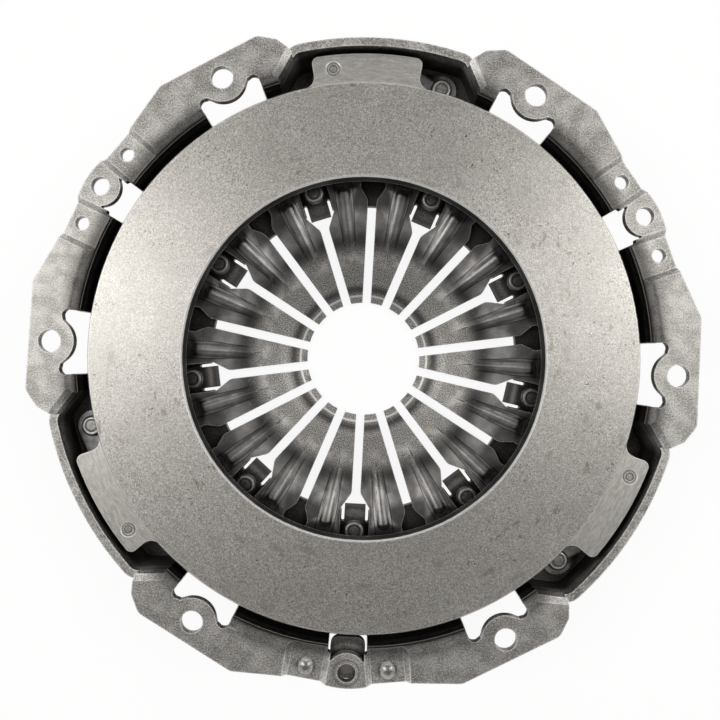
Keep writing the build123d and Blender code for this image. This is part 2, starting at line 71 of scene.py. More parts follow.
# %% [markdown]
# ## The camera
# The photo was taken from above, close to the part: the near flange looks larger than the
# spring behind it. A long lens would flatten that, so the camera stands only 310 mm above the
# mounting face. Its roll is the small turn that the part has in the picture.

# %% Camera above the flywheel side
camera_height = 0.310
view_width = 0.313
part_turn = math.radians(3.2)
camera_offset = Vector((-0.0017, -0.00065, camera_height))

camera_data = bpy.data.cameras.new("picture_camera")
camera_data.angle = 2 * math.atan(view_width / 2 / camera_height)
camera = bpy.data.objects.new("picture_camera", camera_data)
bpy.context.scene.collection.objects.link(camera)
camera.location = Matrix.Rotation(part_turn, 3, "Z") @ camera_offset
camera.rotation_euler = (0, 0, part_turn)
bpy.context.scene.camera = camera
bpy.context.scene.view_settings.view_transform = "Standard"
print("lens angle", round(math.degrees(camera_data.angle), 1))

# %% [markdown]
# ## Soft boxes and sky
# Bare steel has hardly any colour of its own: it shows what stands round it. In the photo the
# ground ring is bright at the left and right and dull at the top and bottom, which is what two
# tall soft boxes beside the camera do. A third one, wide and weaker, stands beyond the top of
# the picture, and a plain pale sky fills the rest, so that no face is black.

# %% Three soft boxes and a pale sky
warm_white = (1.0, 0.985, 0.965)
sky_strength = 0.27


def soft_box(name, place, width, height, power):
    lamp = bpy.data.lights.new(name, "AREA")
    lamp.shape = "RECTANGLE"
    lamp.size, lamp.size_y = width, height
    lamp.energy = power
    lamp.color = warm_white
    box = bpy.data.objects.new(name, lamp)
    bpy.context.scene.collection.objects.link(box)
    box.location = place
    box.rotation_mode = "QUATERNION"
    box.rotation_quaternion = Vector(place).to_track_quat("Z", "Y")
    return box


soft_box("left_box", (-0.62, 0.12, 0.92), 0.36, 0.62, 2.8)
soft_box("right_box", (0.62, 0.22, 0.92), 0.36, 0.62, 2.4)
soft_box("far_box", (0.0, 1.1, 0.8), 0.9, 0.3, 1.2)

sky = bpy.data.worlds.new("studio_sky")
bpy.context.scene.world = sky
sky.use_nodes = True
background = sky.node_tree.nodes["Background"]
background.inputs["Color"].default_value = (*warm_white, 1)
background.inputs["Strength"].default_value = sky_strength

# %% [markdown]
# ## The table under the part
# The part lies on its finger tips on a white table. The table has to look white in the
# picture, keep the part's shadow, and not light the part more than a real table would. So its
# surface is a matt white for all light that bounces, mixed with a plain white glow that only
# the camera and mirror-like rays can see.

# %% White table
table_gap = 0.0003
table_half = 3.0
table_corners = [(x * table_half, y * table_half, 0) for x, y in ((-1, -1), (1, -1), (1, 1), (-1, 1))]
table_mesh = bpy.data.meshes.new("white_table")
table_mesh.from_pydata(table_corners, [], [(0, 1, 2, 3)])
table = bpy.data.objects.new("white_table", table_mesh)
bpy.context.scene.collection.objects.link(table)
table.location.z = cad_box[0].z - table_gap

# %% White paint of the table
paint_white = 0.86
glow_share, glow_strength = 0.8, 1.12

table_paint = bpy.data.materials.new("white_table")
table_paint.use_nodes = True
tree = table_paint.node_tree
tree.nodes.clear()
rays = tree.nodes.new("ShaderNodeLightPath")
seen = tree.nodes.new("ShaderNodeMath")
seen.operation = "MAXIMUM"
tree.links.new(rays.outputs["Is Camera Ray"], seen.inputs[0])
mirrored = tree.nodes.new("ShaderNodeMath")
mirrored.operation = "MAXIMUM"
tree.links.new(rays.outputs["Is Glossy Ray"], mirrored.inputs[0])
tree.links.new(rays.outputs["Is Transmission Ray"], mirrored.inputs[1])
tree.links.new(mirrored.outputs[0], seen.inputs[1])
share = tree.nodes.new("ShaderNodeMath")
share.operation = "MULTIPLY"
share.inputs[1].default_value = glow_share
tree.links.new(seen.outputs[0], share.inputs[0])
matt = tree.nodes.new("ShaderNodeBsdfDiffuse")
matt.inputs["Color"].default_value = (paint_white, paint_white, paint_white, 1)
glow = tree.nodes.new("ShaderNodeEmission")
glow.inputs["Color"].default_value = (1, 1, 1, 1)
glow.inputs["Strength"].default_value = glow_strength
blend = tree.nodes.new("ShaderNodeMixShader")
tree.links.new(share.outputs[0], blend.inputs[0])
tree.links.new(matt.outputs[0], blend.inputs[1])
tree.links.new(glow.outputs[0], blend.inputs[2])
out = tree.nodes.new("ShaderNodeOutputMaterial")
tree.links.new(blend.outputs[0], out.inputs["Surface"])
table_mesh.materials.append(table_paint)
print("table at", round(table.location.z, 4))

# %% [markdown]
# ## The wall round the table
# From the side the camera looks past the table, and would see the grey of the sky. A larger
# table only moves that line, so a round wall of the same paint stands on it, far enough away
# to take hardly any light from the part.

# %% Round white wall
wall_radius, wall_height, wall_sides = 2.9, 2.4, 96
rim = []
for side in range(wall_sides):
    heading = 2 * math.pi * side / wall_sides
    rim.append((wall_radius * math.cos(heading), wall_radius * math.sin(heading)))
wall_points = [(x, y, z) for z in (0, wall_height) for x, y in rim]
wall_faces = []
for side in range(wall_sides):
    after = (side + 1) % wall_sides
    wall_faces.append((after, side, side + wall_sides, after + wall_sides))
wall_mesh = bpy.data.meshes.new("white_wall")
wall_mesh.from_pydata(wall_points, [], wall_faces)
wall_mesh.materials.append(table_paint)
wall = bpy.data.objects.new("white_wall", wall_mesh)
bpy.context.scene.collection.objects.link(wall)
wall.location.z = table.location.z
print("wall of", len(wall_faces), "sides")

# %% [markdown]
# ## A bench of short calls for metal finishes
# Every finish below is steel or iron, and differs in grain, marks, dirt, edges and painted
# light and shade. Placing each shader node by hand would bury that, so this class keeps the calls short.
# It works in millimetres on the part itself, so a mark stays where it is when the camera or a body moves.

# %% The finish maker
class Finish:
    """A metal finish built from marks that are placed in millimetres on the part."""

    def __init__(self, name, rough, metal=1.0):
        self.material = bpy.data.materials.new(name)
        self.material.use_nodes = True
        self.nodes = self.material.node_tree.nodes
        self.metal = self.nodes["Principled BSDF"]
        self.metal.inputs["Roughness"].default_value = rough
        self.metal.inputs["Metallic"].default_value = metal
        coords = self.add("ShaderNodeTexCoord").outputs["Object"]
        self.place = self.vector("SCALE", coords, scale=1000.0)
        parts = self.add("ShaderNodeSeparateXYZ", {0: self.place})
        self.x, self.y, self.z = parts.outputs
        self.flat = self.add("ShaderNodeCombineXYZ", {0: self.x, 1: self.y}).outputs[0]
        self.radius = self.vector("LENGTH", self.flat)
        self.angle = self.math("ARCTAN2", self.y, self.x)
        arc_length = self.math("MULTIPLY", self.angle, 100.0)
        self.arc = self.add("ShaderNodeCombineXYZ", {0: self.radius, 1: arc_length, 2: self.z}).outputs[0]
        shape = self.add("ShaderNodeNewGeometry")
        self.normal = shape.outputs["Normal"]
        self.flatness = self.add("ShaderNodeSeparateXYZ", {0: self.normal}).outputs[2]

    def put(self, socket, value):
        if isinstance(value, bpy.types.NodeSocket):
            self.material.node_tree.links.new(value, socket)
        elif isinstance(value, tuple) and len(value) == 3 and socket.type == "RGBA":
            socket.default_value = (*value, 1)
        else:
            socket.default_value = value

    def add(self, kind, inputs=None, **settings):
        node = self.nodes.new(kind)
        for key, value in settings.items():
            setattr(node, key, value)
        for key, value in (inputs or {}).items():
            self.put(node.inputs[key], value)
        return node

    def math(self, operation, a, b=0.0, c=0.0):
        return self.add("ShaderNodeMath", {0: a, 1: b, 2: c}, operation=operation).outputs[0]

    def vector(self, operation, a, b=(0, 0, 0), scale=1.0):
        node = self.add("ShaderNodeVectorMath", {0: a, 1: b, 3: scale}, operation=operation)
        return node.outputs["Value" if operation in ("LENGTH", "DOT_PRODUCT") else "Vector"]

    def between(self, value, low, high, start=0.0, end=1.0):
        """start below low, end above high, and a soft change between them."""
        node = self.add("ShaderNodeMapRange", {0: value, 1: low, 2: high, 3: start, 4: end},
                        interpolation_type="SMOOTHSTEP")
        return node.outputs[0]

    def band(self, value, middle, half):
        """1 at middle, fading to 0 at half away from it on either side."""
        away = self.math("ABSOLUTE", self.math("SUBTRACT", value, middle))
        return self.between(away, 0.0, half, 1.0, 0.0)

    def both(self, a, b):
        """Two masks laid over each other: only where both are 1 is the result 1."""
        return self.math("MULTIPLY", a, b)

    def either(self, a, b):
        """Two masks side by side: 1 where at least one of them is 1."""
        return self.math("MAXIMUM", a, b)

    def shifted(self, x, y):
        """The same place moved sideways, so that two marks of one grain don't coincide."""
        return self.vector("ADD", self.place, (x, y, 0))

    def fold(self, angle, count):
        """Place along and across the nearest of count rays, the first one at angle degrees."""
        pitch = 2 * math.pi / count
        share = self.math("DIVIDE", self.math("SUBTRACT", self.angle, math.radians(angle)), pitch)
        turn = self.math("MULTIPLY", self.math("SUBTRACT", share, self.math("ROUND", share)), pitch)
        along = self.math("MULTIPLY", self.radius, self.math("COSINE", turn))
        return along, self.math("MULTIPLY", self.radius, self.math("SINE", turn))

    def apart(self, radius, angle, count):
        """Distance from the nearest of count points spread evenly on a circle."""
        along, across = self.fold(angle, count)
        gap = self.add("ShaderNodeCombineXYZ", {0: self.math("SUBTRACT", along, radius), 1: across})
        return self.vector("LENGTH", gap.outputs[0])

    def grain(self, size, detail=4.0, stretch=(1, 1, 1), turn=0.0, at=None, warp=0.0):
        """Noise whose lumps are about size millimetres, drawn out along the stretched axes."""
        spot = at or self.place
        if turn:
            spot = self.add("ShaderNodeVectorRotate", {"Vector": spot, "Angle": turn},
                            rotation_type="Z_AXIS").outputs[0]
        scale = tuple(1 / (size * part) for part in stretch)
        spot = self.vector("MULTIPLY", spot, scale)
        inputs = {"Vector": spot, "Scale": 1.0, "Detail": detail, "Distortion": warp}
        return self.add("ShaderNodeTexNoise", inputs).outputs["Fac"]

    def mix(self, share, a, b, how="MIX"):
        node = self.add("ShaderNodeMix", data_type="RGBA", blend_type=how)
        for socket, value in zip((node.inputs[0], node.inputs[6], node.inputs[7]), (share, a, b)):
            self.put(socket, value)
        return node.outputs[2]

    def scratches(self, length, width, amount, seed):
        """Thin straight marks in two directions, only in some places; 1 where there is one."""
        marks = None
        for turn in (seed, seed + 1.1):
            line = self.grain(1.0, 2.0, (length, width, length), turn)
            line = self.between(line, 0.70 - amount, 0.74 - amount)
            where = self.grain(length * 1.5, 1.0, turn=turn + 0.4)
            line = self.math("MULTIPLY", line, self.between(where, 0.5, 0.6))
            marks = line if marks is None else self.math("MAXIMUM", marks, line)
        return marks

    def edges(self, size, wear_and_highlight_width):
        """Normal with corners rounded by size, and a mask that is 1 along sharp corners, where the finishes
        paint a highlight mixed with wear.
        """
        soft = self.add("ShaderNodeBevel", {"Radius": size / 1000}, samples=4).outputs[0]
        wide = self.add("ShaderNodeBevel", {"Radius": wear_and_highlight_width / 1000}, samples=6).outputs[0]
        bend = self.vector("DOT_PRODUCT", wide, self.normal)
        return soft, self.between(self.math("SUBTRACT", 1.0, bend), 0.004, 0.04)

    def shade_in_corners(self, colour, corner_shade, reach, deep, open_air):
        """colour multiplied by a darker colour as painted shade, in corners that are about reach
        millimetres deep.
        """
        room = self.add("ShaderNodeAmbientOcclusion", {"Distance": reach / 1000}, samples=6).outputs["AO"]
        return self.mix(self.between(room, deep, open_air), self.mix(1.0, colour, corner_shade, "MULTIPLY"), colour)

    def bump(self, height, depth, normal=None):
        """Normal of a surface whose marks are depth millimetres high."""
        inputs = {"Height": height, "Distance": depth / 1000, "Strength": 1.0}
        if normal is not None:
            inputs["Normal"] = normal
        return self.add("ShaderNodeBump", inputs).outputs[0]

    def finish(self, colour, rough=None, normal=None):
        self.put(self.metal.inputs["Base Color"], colour)
        if rough is not None:
            self.put(self.metal.inputs["Roughness"], rough)
        if normal is not None:
            self.put(self.metal.inputs["Normal"], normal)
        print("finish", self.material.name, len(self.nodes), "nodes")
        return self.material


def dress(finish, *names):
    for name in names:
        mesh = nodes[name].data
        mesh.materials.clear()
        mesh.materials.append(finish)


# %% [markdown]
# ## Ground cast iron
# The ring is cast iron. Its back keeps the dark grainy skin of the mould, its face is ground
# for the friction disc, and its lugs are milled a millimetre lower, which leaves fine wavy
# lines. Height tells the three apart, so one material can hold them all: nothing has to be
# painted or unwrapped.

# %% Finish of the cast ring
face_starts = (-4.35, -4.25)
lug_starts = (-5.4, -5.25)
bore_shade = (82.0, 84.0)


def cast_ring_finish():
    """The heights and radii in millimetres say where each kind of surface starts."""
    f = Finish("ground_cast_iron", 0.38)
    face = f.between(f.z, *face_starts)
    lug = f.both(f.between(f.z, *lug_starts), f.math("SUBTRACT", 1.0, face))
    skin = f.math("SUBTRACT", 1.0, f.either(face, lug))

    fine = f.grain(0.42, 2.0)
    lines = f.grain(0.8, 3.0, (1, 5, 1), at=f.arc)
    ground = f.mix(f.between(fine, 0.32, 0.68), (0.37, 0.355, 0.335), (0.79, 0.765, 0.725))
    ground = f.mix(f.between(lines, 0.45, 0.75, 0.0, 0.35), ground, (0.4, 0.385, 0.365))
    stain = f.grain(34.0, 4.0, at=f.shifted(90, 20))
    ground = f.mix(f.between(stain, 0.45, 0.7, 0.0, 0.22), ground, (0.42, 0.405, 0.38))
    smudge = f.grain(5.5, 3.0, (1, 2.4, 1), at=f.arc)
    ground = f.mix(f.between(smudge, 0.62, 0.74, 0.0, 0.45), ground, (0.3, 0.29, 0.275))
    pitted = f.between(f.grain(30.0, 2.0, at=f.shifted(55, 30)), 0.48, 0.6)
    pits = f.both(f.between(f.grain(0.9, 1.0), 0.68, 0.72), pitted)
    marks = f.scratches(5.0, 0.34, 0.025, 0.6)
    ground = f.mix(f.either(pits, f.both(marks, 0.8)), ground, (0.11, 0.105, 0.1))
    rusty = f.between(f.grain(26.0, 1.0, at=f.shifted(5, 60)), 0.56, 0.66)
    rust = f.both(f.between(f.grain(3.0, 4.0, (1, 2, 1), at=f.arc), 0.58, 0.66), rusty)
    ground = f.mix(f.both(rust, 0.6), ground, (0.24, 0.21, 0.16))
    # Painted glints: tiny near-white specks in some patches of the ground face stand in for light sparkling
    # off it.
    glint_patches = f.between(f.grain(16.0, 2.0), 0.56, 0.64)
    painted_glint = f.both(f.between(f.grain(0.55, 1.0, at=f.shifted(7, 9)), 0.62, 0.68), glint_patches)
    ground = f.mix(f.both(painted_glint, 0.8), ground, (0.98, 0.96, 0.93))

    milled = f.grain(0.75, 2.5, (1, 4, 1), at=f.arc, warp=0.8)
    lug_colour = f.mix(f.between(milled, 0.3, 0.7), (0.57, 0.556, 0.518), (0.8, 0.78, 0.74))
    lug_colour = f.mix(f.between(fine, 0.34, 0.66, 0.3, 0.0), lug_colour, (0.3, 0.29, 0.27))
    cast = f.grain(0.8, 5.0)
    cast_colour = f.mix(f.between(cast, 0.3, 0.7), (0.07, 0.067, 0.064), (0.2, 0.19, 0.18))
    cast_colour = f.mix(f.between(f.radius, *bore_shade, 0.8, 0.0), cast_colour, (0.02, 0.019, 0.018))
    colour = f.mix(lug, f.mix(skin, ground, cast_colour), lug_colour)

    # Painted highlight mixed with wear along the sharp edges.
    rounded, edge_wear_and_highlight = f.edges(0.35, 0.8)
    colour = f.mix(f.both(edge_wear_and_highlight, 0.8), colour, (0.93, 0.92, 0.9))
    # Painted shade in the corners.
    colour = f.shade_in_corners(colour, (0.35, 0.34, 0.33), 6, 0.15, 0.8)

    milled_height = f.both(f.both(milled, lug), 0.5)
    cast_height = f.both(f.both(cast, skin), 6.0)
    height = f.math("ADD", f.both(fine, 0.5), milled_height)
    height = f.math("ADD", height, cast_height)
    height = f.math("SUBTRACT", height, f.both(pits, 0.6))
    rough = f.math("ADD", f.between(fine, 0.3, 0.7, 0.34, 0.44), f.both(skin, 0.2))
    return f.finish(colour, rough, f.bump(height, 0.03, rounded))


dress(cast_ring_finish(), "pressure_plate")

# %% [markdown]
# ## Oiled pressed steel
# The cover is drawn from steel sheet. The press leaves a soft sheen on the bends, scuffs on
# the flat ears, and a grainy torn band on the cut edges. A thin coat of oil makes cloudy
# patches. Painted shade darkens the deep corners, where little light gets in.

# %% Finish of the pressed cover
hole_circle = 137.0
tab_ends = (72.0, 76.0)
mouth_shade = (128.0, 136.0)
weight_hole_light, weight_hole_edge = (2.7, 3.4), 5.6


def pressed_steel_finish(name, dark, light, oil=0.35):
    f = Finish(name, 0.4)
    cloud = f.grain(7.0, 5.0)
    fine = f.grain(0.6, 2.5)
    colour = f.mix(f.between(cloud, 0.35, 0.65), dark, light)
    patch = f.between(f.grain(18.0, 5.0, warp=0.3), 0.5, 0.64, 0.0, oil)
    colour = f.mix(patch, colour, (0.2, 0.18, 0.155))
    colour = f.mix(f.between(fine, 0.34, 0.5, 0.6, 0.0), colour, (0.14, 0.13, 0.12))
    colour = f.mix(f.between(fine, 0.5, 0.66, 0.0, 0.6), colour, (0.9, 0.88, 0.85))
    colour = f.mix(f.both(f.scratches(9.0, 0.22, 0.02, 0.2), 0.5), colour, (0.8, 0.79, 0.77))
    colour = f.mix(f.both(f.scratches(4.0, 0.3, 0.02, 1.7), 0.7), colour, (0.08, 0.075, 0.07))

    upright = f.between(f.math("ABSOLUTE", f.flatness), 0.15, 0.35, 1.0, 0.0)
    torn = f.grain(0.35, 3.0, (1, 1, 3))
    torn_colour = f.mix(f.between(torn, 0.35, 0.65), (0.16, 0.155, 0.15), (0.6, 0.585, 0.56))
    colour = f.mix(f.both(upright, f.between(f.z, -5.0, -3.8)), colour, torn_colour)

    # Painted highlight mixed with wear along the sharp edges.
    rounded, edge_wear_and_highlight = f.edges(0.4, 1.0)
    bare_and_highlit_edge = f.both(edge_wear_and_highlight, f.between(fine, 0.35, 0.6, 0.4, 0.9))
    colour = f.mix(bare_and_highlit_edge, colour, (0.9, 0.89, 0.86))

    # Painted shade: the steep ends of the tabs, the bend at the pan's mouth away from the holes, and faces
    # more than 5 mm deep in the pan are darkened.
    tab_end = f.between(f.radius, *tab_ends, 0.9, 0.0)
    bolt_clear = f.between(f.apart(hole_circle, 0, 6), 11.0, 14.0)
    dowel_clear = f.between(f.apart(hole_circle, 30, 3), 9.0, 12.0)
    mouth = f.both(f.between(f.radius, *mouth_shade, 0.75, 0.0), f.between(f.z, -9.0, -6.0))
    shaded = f.either(tab_end, f.both(mouth, f.both(bolt_clear, dowel_clear)))
    outward = f.math("DIVIDE", f.vector("DOT_PRODUCT", f.normal, f.flat), f.radius)
    inside = f.either(f.between(outward, -0.4, -0.1, 1.0, 0.0), f.between(f.flatness, 0.2, 0.5))
    shaded = f.either(shaded, f.both(inside, f.between(f.z, -11.0, -5.0, 0.8, 0.0)))
    colour = f.mix(shaded, colour, (0.035, 0.031, 0.028))

    bottom_hole = f.apart(hole_circle, 270, 1)
    ring_mark = f.both(f.band(bottom_hole, weight_hole_edge, 0.5), 0.6)
    colour = f.mix(ring_mark, colour, (0.12, 0.11, 0.1))
    # Painted light: the weight seen through the bottom dowel hole is lightened in the middle of the hole.
    colour = f.mix(f.between(bottom_hole, *weight_hole_light, 0.7, 0.0), colour, (0.8, 0.79, 0.76))
    # Painted shade in the corners.
    colour = f.shade_in_corners(colour, (0.22, 0.2, 0.18), 9, 0.1, 0.75)
    height = f.math("ADD", f.both(fine, 0.8), f.both(cloud, 0.6))
    rough = f.between(fine, 0.3, 0.7, 0.42, 0.56)
    return f.finish(colour, rough, f.bump(height, 0.03, rounded))


dress(pressed_steel_finish("oiled_pressed_steel", (0.385, 0.375, 0.356), (0.615, 0.597, 0.572)), "cover")
dress(pressed_steel_finish("weight_steel", (0.34, 0.33, 0.31), (0.52, 0.5, 0.48)), "balance_weight")

# %% [markdown]
# ## Ears cut flush
# The press trims each ear in one cut, which runs straight past the two bolt holes and in a
# slight curve past the dowel hole between them. The seats round the holes of the solid stand
# out past that cut by a millimetre or two. A boolean could trim them, but would leave thin
# faces along the cut. So a copy of the cover takes its place, in which each point of a seat
# that lies outside the cut line is drawn back onto it.

# %% Cover with its ears cut flush
flange_depth = 0.0038
hole_radius = hole_circle / 1000
ear_angle, ear_pitch = 30, 120
ear_crest, ear_side, ear_half_angle = 0.1438, 0.1427, 4.3
corner_radius, first_corner, last_corner = 0.1479, 20.0, 38.4
dowel_turn, bolt_turn = 0.0, 30.0
seats = ((dowel_turn, 0.0090), (bolt_turn, 0.0109))


def ear_turn(place):
    """Degrees from the middle of the nearest ear to a place on the flange."""
    heading = math.degrees(math.atan2(place.y, place.x))
    return (heading - ear_angle + ear_pitch / 2) % ear_pitch - ear_pitch / 2


def cut_line(turn):
    """Radius of the flange's outer edge at turn degrees from the middle of an ear."""
    if turn < ear_half_angle:
        return ear_crest - (ear_crest - ear_side) * (turn / ear_half_angle) ** 2
    half_chord = math.radians(last_corner - first_corner) / 2
    from_middle = math.radians(turn - (first_corner + last_corner) / 2)
    return corner_radius * math.cos(half_chord) / math.cos(from_middle)


def cut_ears(mesh):
    """Draw the seats that stand out past the cut line back onto it."""
    count = 0
    for point in mesh.vertices:
        radius = point.co.xy.length
        turn = abs(ear_turn(point.co))
        for seat_turn, reach in seats:
            along = radius * math.cos(math.radians(turn - seat_turn)) - hole_radius
            across = radius * math.sin(math.radians(turn - seat_turn))
            on_seat = point.co.z > -flange_depth and math.hypot(along, across) < reach
            if on_seat and radius > cut_line(turn):
                point.co.xy = point.co.xy * (cut_line(turn) / radius)
                count += 1
    return count


cover_mesh = nodes["cover"].data.copy()
print("points drawn back", cut_ears(cover_mesh), "of", len(cover_mesh.vertices))

# %% [markdown]
# ## Lobed windows
# The die gives each bolt window a round lobe on both sides of the hole's seat, and seat and lobe
# run into each other in one smooth curve. A cutter for that curve could be used with a boolean,
# but the mesh has enough points on the corners already, so each of them is moved onto a circle
# that touches the circle of the seat.

# %% Round lobes of the bolt windows
seat_round, lobe_round, lobe_across = 0.0106, 0.0033, 0.0113
lobe_along = -math.sqrt((seat_round + lobe_round) ** 2 - lobe_across ** 2)
touching = math.atan2(-lobe_along, -lobe_across)
lobe_search = 0.0046


def round_lobes(mesh):
    """Move the corners of the bolt windows onto the circles of their lobes.

    Each point is turned with its hole onto the X axis, moved there and turned back."""
    count = 0
    for point in mesh.vertices:
        heading = math.atan2(point.co.y, point.co.x)
        turn = ear_turn(point.co)
        hole_heading = heading - math.radians(turn - math.copysign(bolt_turn, turn))
        turned = Matrix.Rotation(-hole_heading, 2) @ point.co.xy
        right, up = abs(turned.y) - lobe_across, turned.x - hole_radius - lobe_along
        angle = math.atan2(up, right)
        near = point.co.z > -flange_depth and math.hypot(right, up) < lobe_search
        if near and 0 < angle < touching:
            turned.y = math.copysign(lobe_across + lobe_round * math.cos(angle), turned.y)
            turned.x = hole_radius + lobe_along + lobe_round * math.sin(angle)
            point.co.xy = Matrix.Rotation(hole_heading, 2) @ turned
            count += 1
    return count


print("points on the lobes", round_lobes(cover_mesh))
cut_cover = bpy.data.objects.new("cut_cover", cover_mesh)
bpy.context.scene.collection.objects.link(cut_cover)
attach(cut_cover, "cover")
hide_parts("cover")

# %% [markdown]
# ## Spring steel with painted light and shade
# The diaphragm is hardened and tempered. The inner half of each finger stays grainy from shot
# blasting. Two painted dark bands cross each finger, at mid length and near the tip, for the dark
# reflection where the finger's slope changes, and painted highlights lie at the rib's end and near the tip.
# Further out the finger is smooth, with painted shade on the flanks of its rib, in the two creases beside
# it and under the ring, so the rib's middle stays bright. Marks are
# placed by the distance from the axis and from the middle of the nearest finger.

# %% Finish of the diaphragm spring
finger_count = 18
finger_start = 40
blasting_ends = (51.0, 58.0)


def diaphragm_finish():
    f = Finish("spring_steel_painted_light", 0.34)
    side = f.math("ABSOLUTE", f.fold(finger_start, finger_count)[1])
    fine = f.grain(0.45, 2.0, at=f.flat)
    cloud = f.grain(5.0, 4.0, at=f.flat)
    blasted = f.mix(f.between(fine, 0.36, 0.64), (0.08, 0.077, 0.071), (0.52, 0.508, 0.488))
    smooth = f.mix(f.between(cloud, 0.3, 0.7), (0.2, 0.197, 0.193), (0.33, 0.325, 0.318))
    smooth = f.mix(f.between(fine, 0.4, 0.7, 0.0, 0.3), smooth, (0.55, 0.54, 0.53))
    outside = f.between(f.radius, *blasting_ends)
    colour = f.mix(outside, blasted, smooth)
    brown = f.between(f.grain(9.0, 3.0, at=f.flat), 0.5, 0.7, 0.0, 0.3)
    colour = f.mix(brown, colour, (0.22, 0.18, 0.15))

    # Painted shade: dark bands at 57 mm and at 34 mm near the tip stand in for the dark reflection where
    # the finger's slope changes.
    painted_dark_bands = f.either(f.band(f.radius, 57.0, 8.5), f.band(f.radius, 34.0, 3.6))
    colour = f.mix(f.both(painted_dark_bands, 0.84), colour, (0.04, 0.038, 0.037))
    # Painted shade: the outer fingers under the ring, the flanks of each rib and the strip beside it, and
    # thin dark lines in the creases along the rib.
    shadow_under_ring = f.between(f.radius, 72.0, 82.0, 0.0, 0.7)
    flank_shade = f.between(side, 1.0, 2.6, 0.0, f.between(f.radius, 53.0, 60.0, 0.0, 0.6))
    beside = f.between(side, 3.2, 5.0, 0.0, f.between(f.radius, 68.0, 74.0, 0.0, 0.7))
    shade = f.either(shadow_under_ring, f.either(f.between(side, 3.0, 3.6, flank_shade, 0.0), beside))
    colour = f.mix(shade, colour, (0.04, 0.039, 0.038))
    spread = f.math("SUBTRACT", side, f.between(f.radius, 50.0, 78.0, 2.5, 4.2))
    crease_shade = f.both(f.band(spread, 0.0, 0.45), f.between(f.radius, 53.0, 58.0))
    colour = f.mix(f.both(crease_shade, 0.85), colour, (0.02, 0.02, 0.02))

    # Painted highlights: a patchy light band where the ribs end, and a thin light line near the finger
    # tips.
    rib_end_highlight = f.both(f.band(f.radius, 48.5, 5.0), f.between(cloud, 0.42, 0.62, 0.0, 0.28))
    tip_highlight = f.both(f.band(f.radius, 30.9, 0.8), 0.7)
    colour = f.mix(f.either(rib_end_highlight, tip_highlight), colour, (0.9, 0.88, 0.85))
    colour = f.mix(f.both(f.scratches(5.0, 0.25, 0.02, 0.9), 0.4), colour, (0.66, 0.65, 0.64))
    # Painted highlight mixed with wear along the sharp edges.
    rounded, edge_wear_and_highlight = f.edges(0.25, 0.6)
    bare_and_highlit_edge = f.both(edge_wear_and_highlight, f.between(fine, 0.4, 0.6, 0.15, 0.7))
    colour = f.mix(bare_and_highlit_edge, colour, (0.8, 0.79, 0.77))
    # Painted shade in the corners.
    colour = f.shade_in_corners(colour, (0.2, 0.19, 0.18), 7, 0.1, 0.8)
    rough = f.between(f.radius, *blasting_ends, f.between(fine, 0.3, 0.7, 0.38, 0.48), 0.36)
    return f.finish(colour, rough, f.bump(fine, 0.015, rounded))


diaphragm_steel = diaphragm_finish()
dress(diaphragm_steel, "diaphragm_spring")

# %% [markdown]
# ## Blued strap leaves
# The straps are thin blued strip, stacked four deep. They carry the ring, so their faces stay
# clean and slightly blue, with light rub marks where one leaf slides on the next.

# %% Finish of the straps
def strap_finish():
    f = Finish("strap_steel", 0.36)
    cloud = f.grain(4.0, 4.0, at=f.flat)
    fine = f.grain(0.5, 3.0, at=f.flat)
    colour = f.mix(f.between(cloud, 0.3, 0.7), (0.16, 0.155, 0.155), (0.34, 0.335, 0.33))
    blued = f.between(f.grain(8.0, 2.0, at=f.flat), 0.5, 0.7, 0.0, 0.4)
    colour = f.mix(blued, colour, (0.2, 0.23, 0.28))
    colour = f.mix(f.between(fine, 0.5, 0.75, 0.0, 0.4), colour, (0.55, 0.545, 0.54))
    # Painted highlight mixed with wear along the sharp edges.
    rounded, edge_wear_and_highlight = f.edges(0.15, 0.3)
    colour = f.mix(f.both(edge_wear_and_highlight, 0.6), colour, (0.7, 0.69, 0.68))
    # Painted shade in the corners.
    colour = f.shade_in_corners(colour, (0.22, 0.2, 0.18), 6, 0.1, 0.8)
    return f.finish(colour, f.between(fine, 0.3, 0.7, 0.3, 0.42), f.bump(fine, 0.015, rounded))


strap_steel = strap_finish()

# %% [markdown]
# ## Rivets and wire
# Rivet heads are pressed smooth by the tool. Each gets a painted highlight ring on top, and painted
# shade in its groove and round its edge. The fulcrum wires are drawn bright, and worn where the spring
# rocks.

